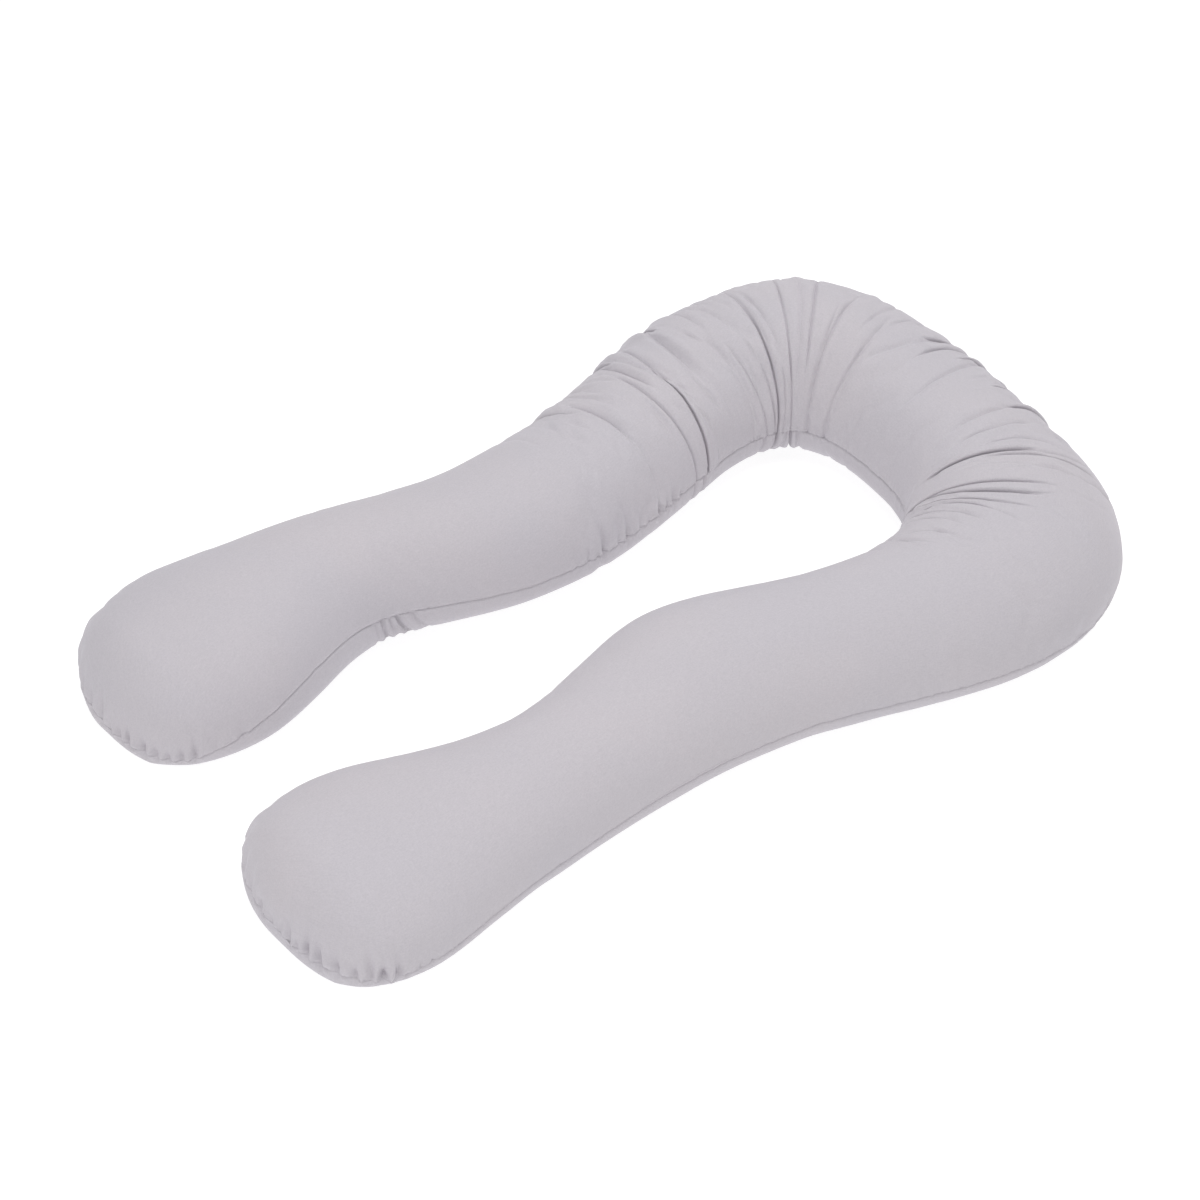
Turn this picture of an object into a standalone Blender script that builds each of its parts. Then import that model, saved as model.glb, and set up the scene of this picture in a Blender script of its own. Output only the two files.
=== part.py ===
"""U-shaped body pillow, one sewn and filled tube lying on its lower panel.

Metres, +Z up.  The two arms lie along Y with their free ends (feet) at -Y and
the head bend at +Y; the left arm is at -X and the right arm at +X.  The
underside rests on z = 0 and the outline is centred on the origin.

The tube is lofted through cross-sections.  Each section stands across the
centreline: a crowned upper side, a flatter lower side that ends in a flat
resting strip, and a seam line on each flank where the upper and the lower
panel are sewn together.  The main creases of the bend are soft troughs that
run across the tube.
"""
import math

import bmesh
import bpy
import numpy as np

# ---------------------------------------------------------------- main sizes
CAP_LEFT = 0.068        # rounded length of the left foot's end
CAP_RIGHT = 0.072       # rounded length of the right foot's end
CAP_POWER = 2.2         # roundness of the feet in plan, 2 is an ellipse
CAP_CROWN = 0.8         # how slowly the crown drops towards a foot's end
WIDEST = 0.333          # level of the widest line, as a part of the height
BASE_FLAT = 0.377       # flat resting strip, as a part of the width
TOP_POWER = 2.15        # fullness of the crowned upper side
LOW_POWER = 2.2         # fullness of the lower side
FAN_SMOOTH = 0.05       # the sections turn gently through the corners
SEAM_DEPTH = 0.0025     # how far the stitching draws the seam in
FOOT_TIP = 0.0012       # the first section lies this far in from the tip

# One row for each station of the centreline, from the left foot round the
# bend to the right foot: plan position, half the width, the height, and the
# height of the seam on the inner and the outer flank as a part of the height.
STATION_COLUMNS = ("x", "y", "half_width", "height", "seam_inner", "seam_outer")
STATIONS = (
    (-0.208, -0.711, 0.106, 0.149, 0.11, 0.36),   # left foot
    (-0.218, -0.579, 0.157, 0.170, 0.40, 0.36),
    (-0.238, -0.441, 0.136, 0.170, 0.50, 0.36),
    (-0.249, -0.300, 0.111, 0.160, 0.44, 0.36),   # left knee waist
    (-0.221, -0.160, 0.113, 0.159, 0.37, 0.36),
    (-0.210, -0.019, 0.125, 0.164, 0.35, 0.36),   # left belly bulge
    (-0.234, 0.122, 0.125, 0.168, 0.36, 0.36),
    (-0.274, 0.262, 0.127, 0.173, 0.37, 0.36),
    (-0.299, 0.402, 0.139, 0.184, 0.34, 0.36),
    (-0.253, 0.525, 0.148, 0.205, 0.33, 0.35),    # left corner of the bend
    (-0.138, 0.588, 0.140, 0.183, 0.36, 0.34),
    (0.003, 0.589, 0.133, 0.173, 0.39, 0.32),     # head
    (0.143, 0.563, 0.142, 0.174, 0.42, 0.30),
    (0.259, 0.483, 0.158, 0.181, 0.44, 0.28),     # right corner of the bend
    (0.295, 0.352, 0.140, 0.180, 0.45, 0.29),
    (0.278, 0.215, 0.119, 0.174, 0.44, 0.29),
    (0.241, 0.081, 0.118, 0.166, 0.43, 0.31),
    (0.212, -0.053, 0.131, 0.165, 0.43, 0.32),    # right belly bulge
    (0.231, -0.189, 0.111, 0.159, 0.42, 0.33),
    (0.247, -0.329, 0.104, 0.158, 0.42, 0.31),    # right knee waist
    (0.246, -0.467, 0.130, 0.162, 0.42, 0.32),
    (0.240, -0.600, 0.158, 0.163, 0.42, 0.30),
    (0.248, -0.728, 0.126, 0.159, 0.42, 0.22),    # right foot
)

# One row for each main crease of the upper panel: its place along the
# centreline at its inner and its outer end, where it runs across the panel
# (0 at the outer seam, 1 at the inner seam), its depth and half its width.
CREASE_COLUMNS = ("s_inner", "s_outer", "from_outer", "to_inner", "depth", "half_width")
CREASES = (
    (0.735, 0.742, 0.84, 1.00, 0.0040, 0.011),
    (0.845, 0.828, 0.28, 0.72, 0.0030, 0.014),
    (0.925, 0.955, 0.30, 1.00, 0.0045, 0.010),
    (0.948, 0.974, 0.25, 1.00, 0.0060, 0.011),
    (1.100, 1.060, 0.34, 1.00, 0.0040, 0.014),
    (1.168, 1.176, 0.42, 1.00, 0.0060, 0.012),
    (1.225, 1.229, 0.36, 1.00, 0.0055, 0.012),
    (1.279, 1.277, 0.30, 0.90, 0.0035, 0.012),
    (1.325, 1.322, 0.40, 1.00, 0.0040, 0.013),
    (1.386, 1.378, 0.48, 0.95, 0.0030, 0.014),
    (1.450, 1.450, 0.20, 0.52, 0.0035, 0.013),
    (1.507, 1.502, 0.20, 0.52, 0.0030, 0.013),
    (1.616, 1.618, 0.20, 0.55, 0.0040, 0.013),
    (1.655, 1.650, 0.30, 0.65, 0.0035, 0.012),
    (1.718, 1.718, 0.28, 0.74, 0.0060, 0.012),
    (1.850, 1.778, 0.42, 1.00, 0.0055, 0.014),
    (1.905, 1.850, 0.50, 0.98, 0.0045, 0.014),
    (1.990, 1.950, 0.58, 0.95, 0.0030, 0.016),
)

# Places of the mesh lines round a section.  Upper panel: 0 outer seam, 1 inner
# seam.  Lower panel: the flat strip is the middle piece between FLAT_EDGES.
UPPER_LINES = (0.0, 0.035, 0.10, 0.18, 0.28, 0.39, 0.50, 0.61, 0.72, 0.82, 0.90, 0.965, 1.0)
LOWER_LINES = (0.07, 0.19, 0.30, 0.40, 0.60, 0.70, 0.81, 0.93)
FLAT_EDGES = (0.40, 0.60)

# Spacing of the sections: fine through the creased bend, wider on the arms.
STEP_ARM = 0.024
STEP_BEND = 0.0125
BEND_FROM, BEND_TO = 0.90, 2.00
CAP_SECTIONS = 6

COLOUR = (0.530, 0.508, 0.545, 1.0)
ROUGHNESS = 0.92


# ------------------------------------------------------------------- helpers
def spline(knots, values, at):
    """Natural cubic spline through rows of values, read at the places at."""
    n = len(knots)
    h = np.diff(knots)
    a = np.zeros((n, n))
    r = np.zeros((n, values.shape[1]))
    a[0, 0] = a[-1, -1] = 1.0
    for i in range(1, n - 1):
        a[i, i - 1], a[i, i], a[i, i + 1] = h[i - 1], 2 * (h[i - 1] + h[i]), h[i]
        r[i] = 6 * ((values[i + 1] - values[i]) / h[i] - (values[i] - values[i - 1]) / h[i - 1])
    m = np.linalg.solve(a, r)
    k = np.clip(np.searchsorted(knots, at) - 1, 0, n - 2)
    w = h[k][:, None]
    p = (knots[k + 1] - at)[:, None] / w
    q = 1 - p
    return p * values[k] + q * values[k + 1] + ((p ** 3 - p) * m[k] + (q ** 3 - q) * m[k + 1]) * w ** 2 / 6


def smoothstep(t):
    t = np.clip(t, 0.0, 1.0)
    return t * t * (3 - 2 * t)


TABLE = np.array(STATIONS)
KNOTS = np.r_[0, np.cumsum(np.linalg.norm(np.diff(TABLE[:, :2], axis=0), axis=1))]
LENGTH = KNOTS[-1]


def outward_angles(at):
    """Direction that points outwards, across the centreline, at each place."""
    fine = np.linspace(0, LENGTH, 600)
    t = spline(KNOTS, TABLE[:, :2], fine + 1e-3) - spline(KNOTS, TABLE[:, :2], fine - 1e-3)
    angle = np.unwrap(np.arctan2(t[:, 0], -t[:, 1]))
    weight = np.exp(-(fine[:, None] - fine[None]) ** 2 / (2 * FAN_SMOOTH ** 2))
    return np.interp(at, fine, weight @ angle / weight.sum(1))


def sections(at):
    """Everything that shapes the cross-section at each place along the tube."""
    row = spline(KNOTS, TABLE, at)
    angle = outward_angles(at)
    end = np.ones(len(at))
    for distance, cap in ((at, CAP_LEFT), (LENGTH - at, CAP_RIGHT)):
        near = distance < cap
        end[near] = (1 - np.clip(1 - distance[near] / cap, 0, 1) ** CAP_POWER) ** (1 / CAP_POWER)
    height = row[:, 3]
    drop = end ** CAP_CROWN
    mid = WIDEST * height
    top = mid + (height - mid) * drop
    low = mid * (1 - np.minimum(1, 1.25 * end))

    def seam_angle(part):
        z = mid + (part * height - mid) * drop
        above = np.clip((z - mid) / np.maximum(top - mid, 1e-6), 0, 0.98) ** (TOP_POWER / 2)
        below = np.clip((mid - z) / np.maximum(mid - low, 1e-6), 0, 0.98) ** (LOW_POWER / 2)
        return np.where(z >= mid, np.arcsin(above), -np.arcsin(below))

    return {"centre": row[:, :2], "out": np.c_[np.cos(angle), np.sin(angle)], "half": row[:, 2] * end,
            "mid": mid, "top": top, "low": low, "inner": seam_angle(row[:, 4]), "outer": seam_angle(row[:, 5])}


def flank(sec, turn):
    """Half a section: turn is -90 degrees at the base, 0 at the widest, 90 at the crown."""
    mid, top, low = (sec[k][:, None] for k in ("mid", "top", "low"))
    c, s = np.clip(np.cos(turn), 0, 1), np.abs(np.sin(turn))
    x = np.where(turn >= 0, c ** (2 / TOP_POWER), BASE_FLAT + (1 - BASE_FLAT) * c ** (2 / LOW_POWER))
    z = np.where(turn >= 0, mid + (top - mid) * s ** (2 / TOP_POWER), mid - (mid - low) * s ** (2 / LOW_POWER))
    return x, z


def place(sec, x, z):
    p = np.empty(x.shape + (3,))
    p[..., :2] = sec["centre"][:, None] + sec["out"][:, None] * (x * sec["half"][:, None])[..., None]
    p[..., 2] = z
    return p


def upper_panel(sec, v):
    outer, inner = sec["outer"][:, None], sec["inner"][:, None]
    turn = v[None] * (math.pi - outer - inner)
    outside = turn < math.pi / 2 - outer
    x, z = flank(sec, np.where(outside, outer + turn, math.pi - outer - turn))
    return place(sec, np.where(outside, x, -x), z)


def lower_panel(sec, w):
    outer, inner = sec["outer"][:, None], sec["inner"][:, None]
    w = np.broadcast_to(w[None], (len(outer), len(w)))
    a, b = FLAT_EDGES
    xo, zo = flank(sec, outer - (math.pi / 2 + outer) * np.clip(w / a, 0, 1))
    xi, zi = flank(sec, inner - (math.pi / 2 + inner) * np.clip((1 - w) / (1 - b), 0, 1))
    flat = BASE_FLAT * (1 - 2 * np.clip((w - a) / (b - a), 0, 1))
    x = np.where(w <= a, xo, np.where(w >= b, -xi, flat))
    z = np.where(w <= a, zo, np.where(w >= b, zi, sec["low"][:, None]))
    return place(sec, x, z)


def places_along():
    """Places of the sections, closer together at the feet and through the bend."""
    t = np.linspace(0, math.pi / 2, CAP_SECTIONS + 1)
    left = FOOT_TIP + (CAP_LEFT - FOOT_TIP) * (1 - np.cos(t))
    right = LENGTH - FOOT_TIP - (CAP_RIGHT - FOOT_TIP) * (1 - np.cos(t))
    runs = [left[:-1]]
    for start, stop, step in ((CAP_LEFT, BEND_FROM, STEP_ARM), (BEND_FROM, BEND_TO, STEP_BEND),
                              (BEND_TO, LENGTH - CAP_RIGHT, STEP_ARM)):
        count = int(round((stop - start) / step))
        runs.append(start + (stop - start) * np.arange(count) / count)
    runs.append(right[::-1])
    return np.concatenate(runs)


def crease_depth(s, v):
    """Depth of the creases at each mesh point of the upper panel."""
    depth = np.zeros((len(s), len(v)))
    for s_in, s_out, v0, v1, deep, half in CREASES:
        middle = s_out + (s_in - s_out) * np.clip((v - v0) / (v1 - v0), 0, 1)
        across = (s[:, None] - middle[None]) / half
        rise = smoothstep((v - v0) / (0.45 * (v1 - v0)))
        # a crease that reaches the inner seam stays open up to it
        fade = np.ones_like(v) if v1 >= 1 else smoothstep((v1 - v) / (0.35 * (v1 - v0)))
        depth += deep * np.exp(-across ** 2) * (rise * fade * (v < v1 + 1e-6))[None]
    return depth


def outward(points, inside):
    """Unit normals of the closed loops of a tube, away from its middle line."""
    along = np.gradient(points, axis=0)
    around = np.roll(points, -1, axis=1) - np.roll(points, 1, axis=1)
    n = np.cross(around, along)
    n /= np.maximum(np.linalg.norm(n, axis=-1, keepdims=True), 1e-9)
    return n * np.where(((points - inside) * n).sum(-1, keepdims=True) < 0, -1.0, 1.0)


# --------------------------------------------------------------------- build
def tube_rings():
    s = places_along()
    sec = sections(s)
    v, w = np.array(UPPER_LINES), np.array(LOWER_LINES)
    upper, lower = upper_panel(sec, v), lower_panel(sec, w)
    # round the section: over the crown from the outer to the inner seam, then
    # back under the base from the inner to the outer seam
    rings = np.concatenate([upper, lower[:, ::-1]], axis=1)
    middle = np.concatenate([sec["centre"], (0.5 * (sec["top"] + sec["low"]))[:, None]], axis=1)[:, None]
    n = outward(rings, middle)
    drawn = np.zeros(rings.shape[:2])
    size = np.clip(sec["half"] / 0.10, 0, 1)[:, None]
    drawn[:, :len(v)] += crease_depth(s, v) * size
    drawn[:, [0, len(v) - 1]] += SEAM_DEPTH * size
    return rings - n * drawn[..., None], middle[:, 0]


def make_pillow():
    rings, middle = tube_rings()
    low, high = rings.reshape(-1, 3).min(0), rings.reshape(-1, 3).max(0)
    shift = np.array([-(low[0] + high[0]) / 2, -(low[1] + high[1]) / 2, 0.0])
    bm = bmesh.new()
    loops = [[bm.verts.new(tuple(p + shift)) for p in ring] for ring in rings]
    for a, b in zip(loops, loops[1:]):
        for k in range(len(a)):
            m = (k + 1) % len(a)
            bm.faces.new((a[k], b[k], b[m], a[m]))
    for ring, loop, turn in ((rings[0], loops[0], 1), (rings[-1], loops[-1], -1)):
        tip = bm.faces.new(loop[::turn])
        bmesh.ops.poke(bm, faces=[tip], center_mode="MEAN_WEIGHTED")
    bmesh.ops.triangulate(bm, faces=bm.faces[:], quad_method="SHORT_EDGE")
    bmesh.ops.recalc_face_normals(bm, faces=bm.faces[:])
    mesh = bpy.data.meshes.new("pillow")
    bm.to_mesh(mesh)
    bm.free()
    mesh.shade_smooth()
    pillow = bpy.data.objects.new("pillow", mesh)
    bpy.context.scene.collection.objects.link(pillow)
    return pillow


def jersey():
    material = bpy.data.materials.new("jersey")
    material.use_nodes = True
    shader = material.node_tree.nodes["Principled BSDF"]
    shader.inputs["Base Color"].default_value = COLOUR
    shader.inputs["Roughness"].default_value = ROUGHNESS
    shader.inputs["Metallic"].default_value = 0.0
    material.diffuse_color = COLOUR
    return material


for old in list(bpy.data.objects):
    bpy.data.objects.remove(old, do_unlink=True)
pillow = make_pillow()
pillow.data.materials.append(jersey())
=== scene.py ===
import math

import bpy
import numpy as np
from mathutils import Matrix, Vector


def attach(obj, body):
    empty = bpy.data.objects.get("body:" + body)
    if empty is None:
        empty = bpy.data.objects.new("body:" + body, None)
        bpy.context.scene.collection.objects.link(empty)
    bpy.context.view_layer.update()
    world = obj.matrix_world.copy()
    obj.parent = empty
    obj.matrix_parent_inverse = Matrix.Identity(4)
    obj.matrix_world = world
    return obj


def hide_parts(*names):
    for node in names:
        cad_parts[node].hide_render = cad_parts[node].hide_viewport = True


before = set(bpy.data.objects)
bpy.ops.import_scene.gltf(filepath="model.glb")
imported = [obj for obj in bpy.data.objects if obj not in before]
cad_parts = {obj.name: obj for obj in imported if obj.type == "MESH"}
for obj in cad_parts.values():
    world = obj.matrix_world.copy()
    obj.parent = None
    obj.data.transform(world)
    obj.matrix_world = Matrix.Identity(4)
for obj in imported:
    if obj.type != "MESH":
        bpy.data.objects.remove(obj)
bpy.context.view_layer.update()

# =========================================================== the pillow's form
# The same stations as the solid: centreline point, half width, height, and the
# height of the seam on the inner and the outer flank as a part of the height.
STATIONS = (
    (-0.208, -0.711, 0.106, 0.149, 0.11, 0.36),
    (-0.218, -0.579, 0.157, 0.170, 0.40, 0.36),
    (-0.238, -0.441, 0.136, 0.170, 0.50, 0.36),
    (-0.249, -0.300, 0.111, 0.160, 0.44, 0.36),
    (-0.221, -0.160, 0.113, 0.159, 0.37, 0.36),
    (-0.210, -0.019, 0.125, 0.164, 0.35, 0.36),
    (-0.234, 0.122, 0.125, 0.168, 0.36, 0.36),
    (-0.274, 0.262, 0.127, 0.173, 0.37, 0.36),
    (-0.299, 0.402, 0.139, 0.184, 0.34, 0.36),
    (-0.253, 0.525, 0.148, 0.205, 0.33, 0.35),
    (-0.138, 0.588, 0.140, 0.183, 0.36, 0.34),
    (0.003, 0.589, 0.133, 0.173, 0.39, 0.32),
    (0.143, 0.563, 0.142, 0.174, 0.42, 0.30),
    (0.259, 0.483, 0.158, 0.181, 0.44, 0.28),
    (0.295, 0.352, 0.140, 0.180, 0.45, 0.29),
    (0.278, 0.215, 0.119, 0.174, 0.44, 0.29),
    (0.241, 0.081, 0.118, 0.166, 0.43, 0.31),
    (0.212, -0.053, 0.131, 0.165, 0.43, 0.32),
    (0.231, -0.189, 0.111, 0.159, 0.42, 0.33),
    (0.247, -0.329, 0.104, 0.158, 0.42, 0.31),
    (0.246, -0.467, 0.130, 0.162, 0.42, 0.32),
    (0.240, -0.600, 0.158, 0.163, 0.42, 0.30),
    (0.248, -0.728, 0.126, 0.159, 0.42, 0.22),
)
CAP_LEFT, CAP_RIGHT = 0.068, 0.072
CAP_POWER, CAP_CROWN = 2.2, 0.8
WIDEST, BASE_FLAT = 0.333, 0.377
TOP_POWER, LOW_POWER = 2.15, 2.2
FAN_SMOOTH = 0.05
FLAT_A, FLAT_B = 0.40, 0.60
FOOT_TIP = 0.0012

TABLE = np.array(STATIONS)
KNOTS = np.r_[0, np.cumsum(np.linalg.norm(np.diff(TABLE[:, :2], axis=0), axis=1))]
LENGTH = KNOTS[-1]


def spline(knots, values, at):
    n = len(knots)
    h = np.diff(knots)
    a = np.zeros((n, n))
    r = np.zeros((n, values.shape[1]))
    a[0, 0] = a[-1, -1] = 1.0
    for i in range(1, n - 1):
        a[i, i - 1], a[i, i], a[i, i + 1] = h[i - 1], 2 * (h[i - 1] + h[i]), h[i]
        r[i] = 6 * ((values[i + 1] - values[i]) / h[i] - (values[i] - values[i - 1]) / h[i - 1])
    m = np.linalg.solve(a, r)
    k = np.clip(np.searchsorted(knots, at) - 1, 0, n - 2)
    w = h[k][:, None]
    p = (knots[k + 1] - at)[:, None] / w
    q = 1 - p
    return p * values[k] + q * values[k + 1] + ((p ** 3 - p) * m[k] + (q ** 3 - q) * m[k + 1]) * w ** 2 / 6


def smoothstep(t):
    t = np.clip(t, 0.0, 1.0)
    return t * t * (3 - 2 * t)


def outward_angles(at):
    fine = np.linspace(0, LENGTH, 600)
    t = spline(KNOTS, TABLE[:, :2], fine + 1e-3) - spline(KNOTS, TABLE[:, :2], fine - 1e-3)
    angle = np.unwrap(np.arctan2(t[:, 0], -t[:, 1]))
    weight = np.exp(-(fine[:, None] - fine[None]) ** 2 / (2 * FAN_SMOOTH ** 2))
    return np.interp(at, fine, weight @ angle / weight.sum(1))


def sections(at):
    row = spline(KNOTS, TABLE, at)
    angle = outward_angles(at)
    end = np.ones(len(at))
    for distance, cap in ((at, CAP_LEFT), (LENGTH - at, CAP_RIGHT)):
        near = distance < cap
        end[near] = (1 - np.clip(1 - distance[near] / cap, 0, 1) ** CAP_POWER) ** (1 / CAP_POWER)
    height = row[:, 3]
    drop = end ** CAP_CROWN
    mid = WIDEST * height
    top = mid + (height - mid) * drop
    low = mid * (1 - np.minimum(1, 1.25 * end))

    def seam_angle(part):
        z = mid + (part * height - mid) * drop
        above = np.clip((z - mid) / np.maximum(top - mid, 1e-6), 0, 0.98) ** (TOP_POWER / 2)
        below = np.clip((mid - z) / np.maximum(mid - low, 1e-6), 0, 0.98) ** (LOW_POWER / 2)
        return np.where(z >= mid, np.arcsin(above), -np.arcsin(below))

    return {"centre": row[:, :2], "out": np.c_[np.cos(angle), np.sin(angle)], "half": row[:, 2] * end,
            "mid": mid, "top": top, "low": low, "inner": seam_angle(row[:, 4]), "outer": seam_angle(row[:, 5])}


# ------------------------------------------------------ points of the plain skin
SHIFT = np.array([-0.00049, 0.00002])       # puts the outline's middle on the origin, as in the solid


def plain_point(s, v, upper):
    """Points of the smooth skin at places s along the tube and v across a panel."""
    shape = np.broadcast(s, v).shape
    s, v = (np.broadcast_to(a, shape).ravel() for a in (s, v))
    sec = sections(s)
    outer, inner, half = sec["outer"], sec["inner"], sec["half"]
    mid, top, low = sec["mid"], sec["top"], sec["low"]
    if upper:
        turn = v * (math.pi - outer - inner)
        outside = turn < math.pi / 2 - outer
        t = np.where(outside, outer + turn, math.pi - outer - turn)
        sign = np.where(outside, 1.0, -1.0)
        flat = np.zeros(len(s), bool)
    else:
        outside = v < 0.5
        t = np.where(outside, outer - (math.pi / 2 + outer) * np.clip(v / FLAT_A, 0, 1),
                     inner - (math.pi / 2 + inner) * np.clip((1 - v) / (1 - FLAT_B), 0, 1))
        sign = np.where(outside, 1.0, -1.0)
        flat = (v > FLAT_A) & (v < FLAT_B)
    c, q = np.clip(np.cos(t), 0, 1), np.abs(np.sin(t))
    x = np.where(t >= 0, c ** (2 / TOP_POWER), BASE_FLAT + (1 - BASE_FLAT) * c ** (2 / LOW_POWER))
    z = np.where(t >= 0, mid + (top - mid) * q ** (2 / TOP_POWER), mid - (mid - low) * q ** (2 / LOW_POWER))
    x = np.where(flat, BASE_FLAT * (1 - 2 * (v - FLAT_A) / (FLAT_B - FLAT_A)), x * sign)
    z = np.where(flat, low, z)
    p = np.empty((len(s), 3))
    p[:, :2] = sec["centre"] + SHIFT + sec["out"] * (x * half)[:, None]
    p[:, 2] = z
    return p.reshape(shape + (3,))


def unit(a):
    return a / np.maximum(np.linalg.norm(a, axis=-1, keepdims=True), 1e-12)


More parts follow.
